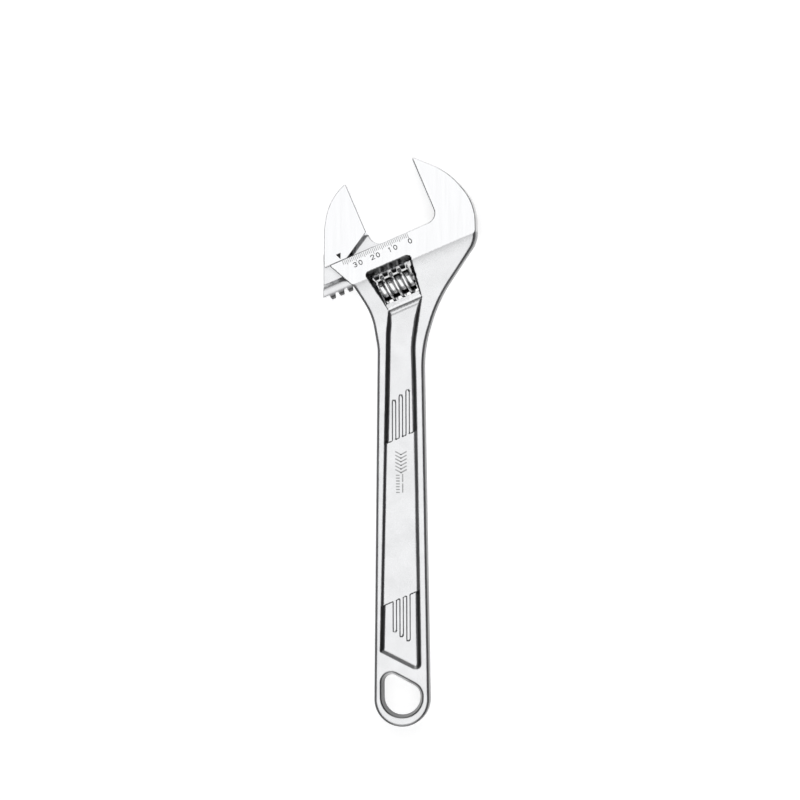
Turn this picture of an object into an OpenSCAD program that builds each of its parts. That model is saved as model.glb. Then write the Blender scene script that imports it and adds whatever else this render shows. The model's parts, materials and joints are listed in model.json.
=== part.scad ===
// Adjustable wrench, 12 inch pattern.
// The wrench lies flat. The origin is the middle of the hanging hole on the lower side's plane,
// +Y runs along the handle to the head, +X to the fixed jaw's side, +Z up out of the upper side.
// The head has its own frame: u runs along the slide towards the fixed jaw, v towards the jaw
// tips, and its origin is where the rack's axis crosses the handle's axis.

/* [Overall] */
// Overall length, end of the handle to the tip of the fixed jaw
overall_l = 300; // [275:1:360]
// Tilt of the slide from square to the handle
head_angle = 23; // [18:0.5:27]
// Jaw opening as drawn, which is the widest
jaw_open = 37.5; // [30:0.5:38.5]

/* [Thickness] */
// Thickness of the head and of the fixed jaw
head_t = 17; // [16.8:0.2:20]
// Thickness of the handle over its rims
handle_t = 12.5; // [10:0.5:14]
// Depth of the handle's recess below the rims
recess_depth = 2.4; // [1.5:0.1:3.2]
// Depth of the raised pad and bars below the rims
pad_depth = 1.1; // [0.6:0.1:1.4]

/* [Handle] */
// Width of the handle below the head
neck_w = 24.2; // [23:0.2:27]
// Width of the handle's round end
end_w = 29.2; // [28.4:0.2:34]
// How far the round end's centre lies below the hanging hole's centre
end_drop = 1.2; // [0.4:0.1:2]
// Width of the rims beside the recess
rim_w = 4.1; // [3:0.1:5]
// Width of the left rim at the recess's lower end, where it is narrowest
rim_left_low_w = 2.9; // [2.5:0.1:4]
// Radius of the hanging hole's round part
hole_r = 10.9; // [8:0.1:11.2]
// Rise of the hanging hole's pointed corner above its centre
hole_rise = 16.6; // [15:0.2:18]
// Fall of the recess's lower end and of the hole's upper edge, from left to right
end_slant = 28; // [15:1:30]
// Height of the recess's lower end above the hanging hole's centre
recess_low = 17.5; // [17:0.1:26]
// Gap between the recess's lower end and the pad
pad_low_gap = 34.7; // [30:0.1:45]
// Gap between the pad and the recess's upper end
pad_high_gap = 69.5; // [50:0.5:80]
// Width of a raised bar
bar_w = 1.5; // [1.2:0.1:3]
// Spacing of the raised bars
bar_pitch = 3.6; // [3.4:0.1:4]
// Length of the middle bar above the pad
bar_up_l = 22.3; // [10:0.1:26]
// Length of the middle bar below the pad
bar_down_l = 20.3; // [10:0.1:24]
// Extra length of each upper bar over its left neighbour
bar_up_step = 1.2; // [0:0.1:2]
// Extra length of each lower bar over its left neighbour
bar_down_step = 3.9; // [0:0.1:4]

/* [Jaws] */
// Distance of the fixed jaw's face from the head's origin
fixed_face_u = 27; // [25:0.1:28]
// Height of the ledge that the movable jaw slides on, above the rack's axis
ledge_v = 12; // [10.5:0.1:13]
// Height of the jaw faces above the ledge
jaw_h = 35.9; // [30:0.1:38]
// Radius of the throat at the fixed jaw's root
throat_r = 5.5; // [3:0.1:6]
// Radius of the jaw tips
tip_r = 0.8; // [0.4:0.1:1.5]
// How far the movable jaw's tip stands over the fixed jaw's
tip_over = 0.6; // [0:0.1:1.2]
// Height of the relief at the foot of the movable jaw's face
relief_h = 7; // [6:0.1:9]
// Width of the relief at the foot of the movable jaw's face
relief_w = 11.9; // [9:0.1:13]
// Width of the movable jaw's foot, back to face
foot_w = 27.9; // [25:0.1:29]
// Thickness of the web between the movable jaw and its rack
web_t = 5.2; // [4.8:0.1:7.5]
// Radius of the concave end of the web in front of the jaw face
fairing_r = 6.9; // [4:0.1:7.5]

/* [Rack and worm] */
// Radius of the round rack
rack_r = 4.7; // [4.4:0.1:4.8]
// Length of the rack's axis behind the jaw face
rack_back = 33.9; // [32.6:0.1:35]
// Length of the rack in front of the jaw face
rack_front = 11.5; // [10:0.1:12]
// Pitch of the rack's teeth, which is also the worm's lead
pitch = 5; // [4.5:0.1:5.5]
// Distance between the rack's axis and the worm's axis
worm_drop = 11.3; // [11.2:0.05:11.8]
// Outer radius of the worm
worm_r = 8.3; // [8:0.1:8.4]
// Core radius of the worm
core_r = 5.3; // [5:0.1:5.6]
// Width of the thread's crest
crest_w = 1.4; // [1:0.1:1.6]
// Growth of the thread's width for each millimetre of depth
thread_flare = 0.5; // [0.4:0.05:0.55]
// Length of the worm
worm_l = 18; // [15:0.1:18.4]
// Distance of the worm's left end from the head's origin
worm_left_u = -15.65; // [-16:0.05:-15]
// Diameter of the pin that the worm turns on
pin_d = 4.8; // [4:0.1:5]
// Diameter of the pin's screw head
pin_head_d = 6.4; // [6:0.1:7]
// Length of the pin's screw head
pin_head_l = 6.2; // [4:0.1:6.5]
// Distance of the pin's screw head from the head's origin
pin_left_u = -25.5; // [-25.8:0.1:-25]
// How deep the pin's plain end runs into the wall beyond the window
pin_tip_l = 7.8; // [5:0.1:10]
// Wire diameter of the worm's spring
wire_d = 0.8; // [0.6:0.05:0.9]
// Mean diameter of the spring's coils
coil_d = 6.2; // [5.9:0.05:6.3]
// Number of coils in the spring
coils = 4; // [3:1:5]
// Depth of the pocket that the spring sits in, inside the worm
pocket_depth = 5; // [4:0.1:8]

/* [Clearances] */
// Gap between the closed jaws
closed_gap = 0.1; // [0.1:0.05:0.5]
// Gap between the movable jaw's foot and the ledge
foot_gap = 0.15; // [0.1:0.05:0.4]
// Gap on each side of the web, and how far the movable jaw is thinner than the head, each side
side_gap = 0.15; // [0.1:0.05:0.3]
// Gap round the web's ends in the slot
end_gap = 0.4; // [0.3:0.05:1]
// Radial gap of the rack in its bore
bore_gap = 0.1; // [0.05:0.01:0.15]
// Gap between the worm's crest and the root of the rack's teeth
root_gap = 0.8; // [0.5:0.1:1]
// Gap between the worm's thread and a rack tooth, each flank
flank_gap = 0.25; // [0.15:0.01:0.3]
// Radial running gap of the worm on its pin
pin_gap = 0.05; // [0.02:0.01:0.1]
// Radial gap of the pin in the head
seat_gap = 0.03; // [0.02:0.01:0.1]
// Gap behind the worm's left end
thrust_gap = 0.1; // [0.05:0.01:0.2]
// Gap between the spring and what it presses on, each end
spring_gap = 0.04; // [0.02:0.01:0.1]
// Room between the worm and the lower wall of the window
worm_room = 0.6; // [0.4:0.1:1]
// Room left for the spring between the worm's right end and the window
spring_room = 0.55; // [0.4:0.05:1]

/* [Hidden] */
$fn = 96;

// Angle between the points of an arc in an outline
arc_step = 5;
// Extra reach of a cut past the face it opens through
over = 1;
// Points round the worm's cross-section, and slices in one turn of its thread
worm_facets = 20;
// Sides of the spring's wire, and rings in one of its coils
wire_sides = 8;
coil_rings = 16;

mid_z = head_t / 2;
end_r = end_w / 2;

// Unit vector of v
function unit(v) = v / norm(v);

// One corner of an outline, p = [x, y, radius], between its neighbours a and b
function corner(a, p, b) =
    let (pt = [p[0], p[1]], r = p[2])
    r == 0 ? [pt] :
    let (
        to_a = unit([a[0], a[1]] - pt),
        to_b = unit([b[0], b[1]] - pt),
        half = acos(to_a * to_b) / 2,
        centre = pt + unit(to_a + to_b) * r / sin(half),
        first = pt + to_a * r / tan(half) - centre,
        last = pt + to_b * r / tan(half) - centre,
        start = atan2(first[1], first[0]),
        raw = atan2(last[1], last[0]) - start,
        turn = raw > 180 ? raw - 360 : raw < -180 ? raw + 360 : raw,
        n = ceil(abs(turn) / arc_step)
    )
    [for (i = [0:n]) centre + r * [cos(start + turn * i / n), sin(start + turn * i / n)]];

// An outline whose corners are rounded by the radius that each point carries
function rounded(points) =
    let (n = len(points))
    [for (i = [0:n - 1]) each corner(points[(i + n - 1) % n], points[i], points[(i + 1) % n])];

// A point of the head's frame in the part's frame, with its corner radius
function turned(u, v) = [
    u * cos(head_angle) - v * sin(head_angle),
    u * sin(head_angle) + v * cos(head_angle)
];
function at_head(u, v, r = 0) = [turned(u, v)[0], turned(u, v)[1] + head_y, r];

// The back of the fixed jaw, from its tip down to the neck, in the head's frame
tip_v = ledge_v + jaw_h;
back_u = fixed_face_u + 14.6;
back_v = tip_v - 14.6;
shoulder_u = fixed_face_u + 21.6;
shoulder_v = ledge_v + 0.2;
heel_u = fixed_face_u + 13.9;
heel_v = -6.9;
flank_u = 10.2;
flank_v = -27.1;

// The head's origin lies where the overall length puts it
tip_points = [turned(fixed_face_u, 0), turned(fixed_face_u, tip_v), turned(back_u, back_v)];
tip_arc = corner(tip_points[0], [tip_points[1][0], tip_points[1][1], tip_r], tip_points[2]);
head_y = overall_l - end_r - end_drop - max([for (p = tip_arc) p[1]]);

open_face_u = fixed_face_u - jaw_open;

// Height of the root of the rack's teeth
root_v = -worm_drop + worm_r + root_gap;

// The left side of the head, from the end of the ledge down to the neck
ledge_left_u = open_face_u - 25;
channel_left_u = -28;
channel_left_v = -3.1;
waist_u = -25.2;
waist_v = -20.8;

// The polished faces end here, and the surface falls to the handle's level below it
polish_v = -2.1;
fall = (head_t - handle_t) / 2;
fall_run = 12.6;

// Window: its opening in each face, which widens upwards, and the narrower slot below
// the opening that the worm fits between
window_top_v = 1.1;
window_low_v = -worm_drop - worm_r - 2.1;
window_left_u = worm_left_u - 0.45;
window_right_u = worm_left_u + worm_l + 0.7;
window_lean_left = 3.8;
window_lean_right = 3.15;
window_corners = [
    [window_left_u - window_lean_left, window_top_v, 2.2],
    [window_left_u, window_low_v, 0.5],
    [window_right_u, window_low_v, 0.5],
    [window_right_u + window_lean_right, window_top_v, 2.4]
];
flare_depth = 3;
slot_left_u = worm_left_u - thrust_gap;
slot_right_u = worm_left_u + worm_l + spring_room;
slot_low_v = -worm_drop - worm_r - worm_room;
slot_top_v = root_v - 0.4;

// The recess's upper end runs along the lower edge of the window
recess_high_v = window_low_v - 0.4;
recess_high_y = head_y + recess_high_v / cos(head_angle);
pad_low_y = recess_low + pad_low_gap;
pad_high_y = recess_high_y - pad_high_gap;
neck_y = head_y - 46.5;

// Half the handle's width at height y
function half_w(y) = end_r + (neck_w / 2 - end_r) * (y + end_drop) / (neck_y + end_drop);

function body_outline() = rounded(concat(
    [at_head(ledge_left_u, ledge_v, 0.6), at_head(channel_left_u, channel_left_v, 9)],
    [at_head(waist_u, waist_v, 36), [-half_w(neck_y), neck_y, 30]],
    [for (a = [180:arc_step:360]) [end_r * cos(a), end_r * sin(a) - end_drop, 0]],
    [[half_w(neck_y), neck_y, 70], at_head(flank_u, flank_v, 80), at_head(heel_u, heel_v, 15)],
    [at_head(shoulder_u, shoulder_v, 28), at_head(back_u, back_v, 40)],
    [at_head(fixed_face_u, tip_v, tip_r), at_head(fixed_face_u, ledge_v, throat_r)]
));

function hole_outline() = rounded([
    [-hole_r, hole_rise, 5.4],
    [hole_r, hole_rise - 2 * hole_r * tan(end_slant), 8],
    [hole_r, -hole_r, hole_r - 0.01],
    [-hole_r, -hole_r, hole_r - 0.01]
]);

function recess_outline() =
    let (
        low_l = recess_low + (half_w(recess_low) - rim_left_low_w) * tan(end_slant),
        low_r = recess_low - (half_w(recess_low) - rim_w) * tan(end_slant) + 0.5
    )
    rounded([
        [rim_left_low_w - half_w(low_l), low_l, 1.2],
        [rim_w + 0.3 - half_w(neck_y - 20), neck_y - 20, 0],
        [rim_w + 0.6 - half_w(neck_y), neck_y + 8, 30],
        at_head(window_left_u, recess_high_v),
        at_head(window_right_u, recess_high_v),
        [half_w(neck_y) - rim_w - 0.3, neck_y + 2, 50],
        [half_w(neck_y - 20) - rim_w, neck_y - 20, 0],
        [half_w(low_r) - rim_w, low_r, 3]
    ]);

// Region of the pad, between two ends that run parallel to the slide
module pad_2d() {
    reach = end_r;
    rise = reach * tan(head_angle);
    polygon([
        [-reach, pad_low_y - rise], [reach, pad_low_y + rise],
        [reach, pad_high_y + rise], [-reach, pad_high_y - rise]
    ]);
}

// Three round-ended bars that run from the pad's end at y = base, up or down
module bars_2d(base, direction, middle_l, step) {
    for (i = [-1:1]) {
        x = i * bar_pitch;
        root_y = base + x * tan(head_angle);
        bar_l = middle_l + i * step - bar_w / 2;
        translate([x, root_y])
            translate([-bar_w / 2, direction > 0 ? -over : -bar_l])
                square([bar_w, bar_l + over]);
        translate([x, root_y + direction * bar_l])
            circle(d = bar_w);
    }
}

module recess_2d() {
    polygon(recess_outline());
}

module deep_recess_2d() {
    difference() {
        recess_2d();
        pad_2d();
        bars_2d(pad_high_y, 1, bar_up_l, bar_up_step);
        bars_2d(pad_low_y, -1, bar_down_l, bar_down_step);
    }
}

// Places children drawn in the head's frame, at mid thickness
module in_head() {
    translate([0, head_y, mid_z])
        rotate([0, 0, head_angle])
            children();
}

// A cylinder along u at height v, from u = from to u = to
module rod(v, r, from, to) {
    translate([from, v, 0])
        rotate([0, 90, 0])
            cylinder(r = r, h = to - from);
}

// A slab of the given thickness about the mid plane
module slab(t) {
    linear_extrude(height = t, center = true)
        children();
}

// Section of the head's thickness: full above the polished line, falling by an arc below it
module thickness_section() {
    fall_angle = 2 * atan(fall / fall_run);
    fall_r = fall_run / sin(fall_angle);
    low = [for (a = [0:3:fall_angle]) [polish_v - fall_run + fall_r * sin(a),
        handle_t / 2 + fall_r * (1 - cos(a))]];
    upper = concat([[-overall_l, handle_t / 2]], low, [[polish_v, head_t / 2], [overall_l, head_t / 2]]);
    lower = [for (i = [len(upper) - 1:-1:0]) [upper[i][0], -upper[i][1]]];
    polygon(concat(upper, lower));
}

module thickness_envelope() {
    in_head()
        rotate([90, 0, 90])
            linear_extrude(height = 2 * overall_l, center = true)
                thickness_section();
}

// Both sides of the handle are cut alike
module both_sides_cut(depth) {
    for (z = [-over, mid_z + handle_t / 2 - depth])
        translate([0, 0, z])
            linear_extrude(height = mid_z - handle_t / 2 + depth + over)
                children();
}

// Sizes of the movable jaw's outlines, measured from its face
foot_v = ledge_v + foot_gap;
foot_left_u = -foot_w;
spine_u = foot_left_u + 7.8;
spine_v = ledge_v + 18.3;
brow_u = -12;
brow_v = tip_v - 4.6;
nose_u = fairing_r + 1.1;
nose_v = ledge_v - 0.2;

// The web and the rack end in one plane at the back, parallel to the handle
function back_end_u(v) = v * tan(head_angle) - rack_back;

function slot_outline() =
    let (
        face = fixed_face_u - closed_gap + end_gap,
        right = face + nose_u,
        top = nose_v + end_gap
    )
    rounded([
        [-overall_l, 0, 0], [right, 0, 0], [right, top, 0],
        [face, top, fairing_r], [face, ledge_v + relief_h + end_gap, 0],
        [fixed_face_u - over, ledge_v + relief_h + end_gap, 0], [-overall_l, ledge_v + relief_h, 0]
    ]);

// Channel for the rack and its web, open at the left edge of the head
module channel() {
    slab(web_t + 2 * side_gap)
        polygon(slot_outline());
    rod(0, rack_r + bore_gap, -overall_l / 4, fixed_face_u - closed_gap + rack_front + end_gap);
}

// Section of the window's opening: both of its walls along u slope in to the slot
function window_section() =
    let (
        floor_z = handle_t / 2 - flare_depth,
        top_z = head_t / 2,
        top_slope_z = max(floor_z, top_z - (window_top_v - slot_top_v) / 0.9),
        low_slope_z = max(floor_z, handle_t / 2 - 2)
    )
    [
        [slot_low_v, floor_z], [slot_top_v, floor_z], [slot_top_v, top_slope_z],
        [window_top_v, top_z], [window_top_v, 2 * top_z], [window_low_v, 2 * top_z],
        [window_low_v, handle_t / 2], [slot_low_v, low_slope_z]
    ];

module window() {
    translate([slot_left_u, slot_low_v, -head_t])
        cube([slot_right_u - slot_left_u, slot_top_v - slot_low_v, 2 * head_t]);
    for (side = [0, 1])
        mirror([0, 0, side])
            intersection() {
                linear_extrude(height = head_t)
                    polygon(rounded(window_corners));
                rotate([90, 0, 90])
                    linear_extrude(height = 4 * worm_l, center = true)
                        polygon(window_section());
            }
}

module pin_bore() {
    rod(-worm_drop, pin_d / 2 + seat_gap, slot_left_u - over, slot_right_u + pin_tip_l + 0.5);
    rod(-worm_drop, pin_d / 2 + seat_gap, pin_left_u, slot_left_u);
    rod(-worm_drop, pin_head_d / 2 + seat_gap, pin_left_u - 4, pin_left_u + pin_head_l);
}

module body() {
    color([0.80, 0.81, 0.83])
        difference() {
            intersection() {
                linear_extrude(height = head_t)
                    polygon(body_outline());
                thickness_envelope();
            }
            translate([0, 0, -over])
                linear_extrude(height = head_t + 2 * over)
                    polygon(hole_outline());
            both_sides_cut(pad_depth)
                recess_2d();
            both_sides_cut(recess_depth)
                deep_recess_2d();
            in_head() {
                channel();
                window();
                pin_bore();
            }
        }
}

function jaw_outline() = rounded([
    [0, tip_v + tip_over, tip_r], [0, ledge_v + relief_h, 0], [-relief_w, foot_v, 0],
    [foot_left_u, foot_v, 0], [spine_u, spine_v, 30], [brow_u, brow_v, 30]
]);

function web_outline() = rounded([
    [0, ledge_v + relief_h, 0], [foot_left_u + 2, ledge_v + relief_h, 0],
    [back_end_u(foot_v), foot_v, 0], [back_end_u(0), 0, 0],
    [nose_u, 0, 0], [nose_u, nose_v, 0], [0, nose_v, fairing_r]
]);

// Space between two rack teeth: the worm's thread with a gap on each flank, along the helix
module tooth_space() {
    low_v = -rack_r - over;
    function half_space(v) = (crest_w + (worm_r - v - worm_drop) * thread_flare) / 2 + flank_gap;
    rotate([0, atan(pitch / (2 * PI * (worm_drop - rack_r + 1))), 0])
        slab(4 * rack_r)
            polygon([
                [-half_space(low_v), low_v], [half_space(low_v), low_v],
                [half_space(root_v), root_v], [-half_space(root_v), root_v]
            ]);
}

// The last tooth space at the back is open to the rack's end
module rack() {
    spaces_back = floor(rack_back / pitch);
    spaces_front = ceil(rack_front / pitch);
    back_l = 2 * rack_r;
    difference() {
        rod(0, rack_r, -rack_back - back_l, rack_front);
        translate([-rack_back, 0, 0])
            rotate([0, 0, -head_angle])
                translate([-2 * back_l, -back_l, -rack_r - over])
                    cube([2 * back_l, 2 * back_l, 2 * (rack_r + over)]);
        translate([-rack_back - 2 * back_l, root_v - back_l, -rack_r - over])
            cube([rack_back + 2 * back_l - (spaces_back + 0.5) * pitch, back_l, 2 * (rack_r + over)]);
        for (i = [-spaces_back:spaces_front])
            translate([(i - 0.5) * pitch, 0, 0])
                tooth_space();
    }
}

module movable_jaw() {
    color([0.90, 0.91, 0.92])
        in_head()
            translate([open_face_u, 0, 0]) {
                slab(head_t - 2 * side_gap)
                    polygon(jaw_outline());
                slab(web_t)
                    polygon(web_outline());
                rack();
            }
}

// Radius of the worm's cross-section at an angle from the middle of the crest
function thread_radius(a) =
    let (along = abs(a) / 360 * pitch)
    along <= crest_w / 2 ? worm_r : max(core_r, worm_r - (along - crest_w / 2) * 2 / thread_flare);

// $fn is 1 so that only the slices, and not the arc setting, divide the twist
module thread() {
    step = 360 / worm_facets;
    turns = worm_l / pitch;
    linear_extrude(height = worm_l, twist = -360 * turns, slices = ceil(turns * worm_facets), $fn = 1)
        polygon([for (a = [-180 + step / 2:step:180]) thread_radius(a) * [cos(a), sin(a)]]);
}

module adjusting_worm() {
    // Where the crest meets the worm's left end, so that it runs midway between rack teeth
    lead_in = (open_face_u + pitch / 2 - worm_left_u) / pitch * 360;
    color([0.86, 0.87, 0.88])
        in_head()
            difference() {
                translate([worm_left_u, -worm_drop, 0])
                    rotate([90, 0, 90])
                        rotate([0, 0, -lead_in])
                            thread();
                rod(-worm_drop, pin_d / 2 + pin_gap, worm_left_u - over, worm_left_u + worm_l + over);
                rod(-worm_drop, coil_d / 2 + wire_d, worm_left_u + worm_l - pocket_depth,
                    worm_left_u + worm_l + over);
            }
}

module worm_pin() {
    slot_w = 1.2;
    color([0.55, 0.56, 0.58])
        in_head()
            difference() {
                union() {
                    rod(-worm_drop, pin_d / 2, pin_left_u + over, slot_right_u + pin_tip_l);
                    rod(-worm_drop, pin_head_d / 2, pin_left_u, pin_left_u + pin_head_l);
                }
                translate([pin_left_u - slot_w, -worm_drop - pin_head_d, -slot_w / 2])
                    cube([2 * slot_w, 2 * pin_head_d, slot_w]);
            }
}

// A closed coil spring along +Z, swept from rings of its wire
module coil_spring(length) {
    rings = coils * coil_rings;
    rise = length - wire_d;
    lead_angle = atan(rise / coils / (PI * coil_d));
    points = [for (i = [0:rings], k = [0:wire_sides - 1])
        let (
            a = 360 * i / coil_rings,
            b = 360 * k / wire_sides,
            r = wire_d / 2,
            away = coil_d / 2 + r * cos(b),
            side = -r * sin(b) * sin(lead_angle)
        )
        [
            away * cos(a) - side * sin(a),
            away * sin(a) + side * cos(a),
            wire_d / 2 + rise * i / rings + r * sin(b) * cos(lead_angle)
        ]];
    sides = [for (i = [0:rings - 1], k = [0:wire_sides - 1])
        let (n = (k + 1) % wire_sides, p = i * wire_sides, q = p + wire_sides)
        [p + k, q + k, q + n, p + n]];
    first = [[for (k = [0:wire_sides - 1]) k]];
    last = [[for (k = [wire_sides - 1:-1:0]) rings * wire_sides + k]];
    polyhedron(points = points, faces = concat(first, sides, last), convexity = 10);
}

module worm_spring() {
    from = worm_left_u + worm_l - pocket_depth + spring_gap;
    color([0.45, 0.46, 0.48])
        in_head()
            translate([from, -worm_drop, 0])
                rotate([0, 90, 0])
                    coil_spring(slot_right_u - spring_gap - from);
}

body();
movable_jaw();
adjusting_worm();
worm_pin();
worm_spring();
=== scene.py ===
"""Looks of the adjustable wrench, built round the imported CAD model.

Lengths in the shape functions are in millimetres, in the frame's axes. The head's own frame
has u along the slide towards the fixed jaw, v towards the jaw tips and w up, and its origin is
where the rack's axis crosses the handle's axis, at mid thickness.
"""

import json
import math

import bpy
import numpy as np
from mathutils import Matrix, Vector


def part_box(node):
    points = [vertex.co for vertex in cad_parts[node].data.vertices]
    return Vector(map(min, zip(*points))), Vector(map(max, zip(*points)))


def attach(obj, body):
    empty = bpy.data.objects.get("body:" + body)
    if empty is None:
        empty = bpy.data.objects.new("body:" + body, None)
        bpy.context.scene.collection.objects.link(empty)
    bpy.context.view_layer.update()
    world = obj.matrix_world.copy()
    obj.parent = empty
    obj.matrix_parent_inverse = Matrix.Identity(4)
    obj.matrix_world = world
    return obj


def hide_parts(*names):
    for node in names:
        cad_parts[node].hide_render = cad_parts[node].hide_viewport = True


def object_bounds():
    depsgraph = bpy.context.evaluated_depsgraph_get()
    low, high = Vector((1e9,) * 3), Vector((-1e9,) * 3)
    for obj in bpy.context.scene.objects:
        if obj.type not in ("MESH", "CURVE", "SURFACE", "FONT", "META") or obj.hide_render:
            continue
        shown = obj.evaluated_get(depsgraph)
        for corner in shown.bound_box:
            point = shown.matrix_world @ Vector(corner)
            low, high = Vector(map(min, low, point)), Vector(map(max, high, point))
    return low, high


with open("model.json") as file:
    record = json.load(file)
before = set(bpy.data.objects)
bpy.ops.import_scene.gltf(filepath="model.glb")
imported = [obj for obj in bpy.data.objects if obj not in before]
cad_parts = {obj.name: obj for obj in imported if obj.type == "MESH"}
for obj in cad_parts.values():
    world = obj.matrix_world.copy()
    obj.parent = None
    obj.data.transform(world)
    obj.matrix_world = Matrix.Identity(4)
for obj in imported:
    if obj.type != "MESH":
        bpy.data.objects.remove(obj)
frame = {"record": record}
CAD_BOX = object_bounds()

MM = 0.001
# Radius of an outline's sharp corners
SHARP = 0.02

# ---------------------------------------------------------------- sizes, from the frame


def node_box(name):
    """Lowest and highest corner of a CAD node, in mm."""
    low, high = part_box(name)
    return np.array(low) / MM, np.array(high) / MM


def joint(name):
    return next(j for j in frame["record"]["behaviour"]["joints"] if j["name"] == name)


def mount(name):
    return next(m for m in frame["record"]["mounts"] if m["name"] == name)


BODY_LOW, BODY_HIGH = node_box("body")
JAW_TOP_Z = node_box("movable_jaw")[1][2]
SLIDE = joint("jaw_slide")["axis"]
COS, SIN = SLIDE[0], SLIDE[1]
TAN = SIN / COS
WORM_AT = np.array(joint("worm_spin")["pos_m"]) / MM
HEAD_T = BODY_HIGH[2] - BODY_LOW[2]
MID_Z = WORM_AT[2]
WORM_DROP = 11.3
HEAD_Y = WORM_AT[1] + (WORM_DROP - SIN * WORM_AT[0]) / COS


def to_head(x, y):
    """(u, v) of a point of the frame."""
    return x * COS + (y - HEAD_Y) * SIN, (y - HEAD_Y) * COS - x * SIN


def from_head(u, v):
    """(x, y) of a point of the head's frame."""
    return u * COS - v * SIN, u * SIN + v * COS + HEAD_Y


FACE_AT = np.array(mount("fixed_jaw_face")["pos_m"]) / MM
OPEN_AT = np.array(mount("movable_jaw_face")["pos_m"]) / MM
FIXED_FACE_U = to_head(FACE_AT[0], FACE_AT[1])[0]
OPEN_FACE_U = to_head(OPEN_AT[0], OPEN_AT[1])[0]
WORM_L = 18.0
WORM_LEFT_U = to_head(WORM_AT[0], WORM_AT[1])[0] - WORM_L / 2

# Thickness of the handle, and depths below its rims
HANDLE_T = 12.5
RECESS_DEPTH = 2.4
PAD_DEPTH = 1.1

# Handle. The hanging hole's middle is the frame's origin, and the round end's lies END_DROP below
END_DROP = 1.2
END_R = -BODY_LOW[1] - END_DROP
NECK_HALF = 12.1
NECK_Y = HEAD_Y - 46.5
# Width of the rims beside the recess, and of the left one at the recess's low end
RIM_W = 4.1
RIM_LEFT_LOW_W = 2.9
HOLE_R = 10.9
HOLE_RISE = 16.6
# Fall of the recess's low end and of the hole's upper edge, from left to right
END_SLANT = math.tan(math.radians(28))
RECESS_LOW = 17.5
PAD_LOW_GAP = 34.7
PAD_HIGH_GAP = 69.5
BAR_W = 1.5
BAR_PITCH = 3.6
# Length of the middle bar, and how much longer each bar is than its left neighbour
BARS_UP = (22.3, 1.2)
BARS_DOWN = (20.3, 3.9)

# How far a hollow's walls lean in for each millimetre of depth
PAD_WALL = 1.2
DEEP_WALL = 0.8
BAR_WALL = 0.15
HOLE_WALL = 0.25
# The recess's floor rises to the window by a long ramp and then by a short step
RAMP_L = 9.0
RAMP_END = 1.5
RAMP_RISE = 1.0
STEP_L = 3.6
STEP_END = 1.2
STEP_RISE = 0.5
# Radii of the forging's edges, of the ground head's edges and of the hole's edge
FORGED_EDGE = 1.7
GROUND_EDGE = 0.45
HOLE_EDGE = 0.9

# Jaws
LEDGE_V = 12.0
JAW_H = 35.9
TIP_V = LEDGE_V + JAW_H
TIP_R = 0.8
THROAT_R = 5.5
# Cut under the movable jaw's face, its lean for each millimetre of depth, and how far it starts
# outside the corner points
RELIEF_H = 7.0
RELIEF_W = 11.9
RELIEF_DRAFT = 0.30
RELIEF_OUT = 0.3
FOOT_W = 27.9
FOOT_V = LEDGE_V + 0.06
# Corners of the movable jaw's back, and how far its tip stands above the fixed one
SPINE = (7.8 - FOOT_W, LEDGE_V + 18.3)
BROW = (-12.0, TIP_V - 4.6)
TIP_OVER = 0.6
WEB_T = 5.2
# The web's nose reaches under the fixed jaw, with a round fairing up to the movable jaw's face
FAIRING_R = 6.9
NOSE_U = FAIRING_R + 1.1
NOSE_V = LEDGE_V - 0.2
# Room beside the web, at the channel's ends, and between the jaws when they are closed
SIDE_GAP = 0.15
END_GAP = 0.4
CLOSED_GAP = 0.1
# Corners of the fixed jaw's outer side, of the head's left side and of the neck's right
BACK_HIGH = (FIXED_FACE_U + 14.6, TIP_V - 14.6)
BACK_MIDDLE = (FIXED_FACE_U + 21.6, LEDGE_V + 0.2)
BACK_LOW = (FIXED_FACE_U + 13.9, -6.9)
LEFT_HIGH = (-28.0, -3.1)
LEFT_LOW = (-25.2, -20.8)
NECK_RIGHT = (10.2, -27.1)

# Rack and worm
RACK_R = 4.7
RACK_BACK = 33.9
RACK_FRONT = 11.5
PITCH = 5.0
WORM_R = 8.3
CORE_R = 5.3
CREST_W = 1.4
THREAD_FLARE = 0.5
# Room beside the worm's thread, round the rack, round the pin in the worm and in the body, and at
# each end of the spring
FLANK_GAP = 0.25
BORE_GAP = 0.1
PIN_GAP = 0.05
SEAT_GAP = 0.03
SPRING_GAP = 0.04
# How much fuller the root of the worm's thread is than its core
ROOT_FILL = 0.5
ROOT_V = WORM_R + 0.8 - WORM_DROP
PIN_D = 4.8
PIN_HEAD_D = 6.4
PIN_HEAD_L = 6.2
PIN_LEFT_U = -25.5
PIN_TIP_L = 7.8
SCREW_SLOT_W = 1.2
SCREW_SLOT_DEPTH = 1.2
WIRE_D = 0.8
COIL_D = 6.2
COILS = 4
POCKET_DEPTH = 5.0

# Well outside the head on its left, where the channel is open
FAR_LEFT_U = -80.0

# The polished faces end at this height, and the surface falls to the handle's level below it
POLISH_V = -2.1
FALL_RUN = 12.6
FALL = (HEAD_T - HANDLE_T) / 2
FALL_ANGLE = 2 * math.atan(FALL / FALL_RUN)
FALL_R = FALL_RUN / math.sin(FALL_ANGLE)

# Window for the worm
WINDOW_TOP_V = 1.1
WINDOW_LOW_V = -WORM_DROP - WORM_R - 2.1
WINDOW_LEFT_U = WORM_LEFT_U - 0.45
WINDOW_RIGHT_U = WORM_LEFT_U + WORM_L + 0.7
# How far its left and right sides lean out between its lower edge and its top
WINDOW_LEAN = (3.8, 3.15)
SLOT_LEFT_U = WORM_LEFT_U - 0.1
SLOT_RIGHT_U = WORM_LEFT_U + WORM_L + 0.55
PIN_RIGHT_U = SLOT_RIGHT_U + PIN_TIP_L
PIN_L = PIN_RIGHT_U - PIN_LEFT_U
# Room between the worm's crest and the wall round it
WORM_ROOM = 0.55
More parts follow.
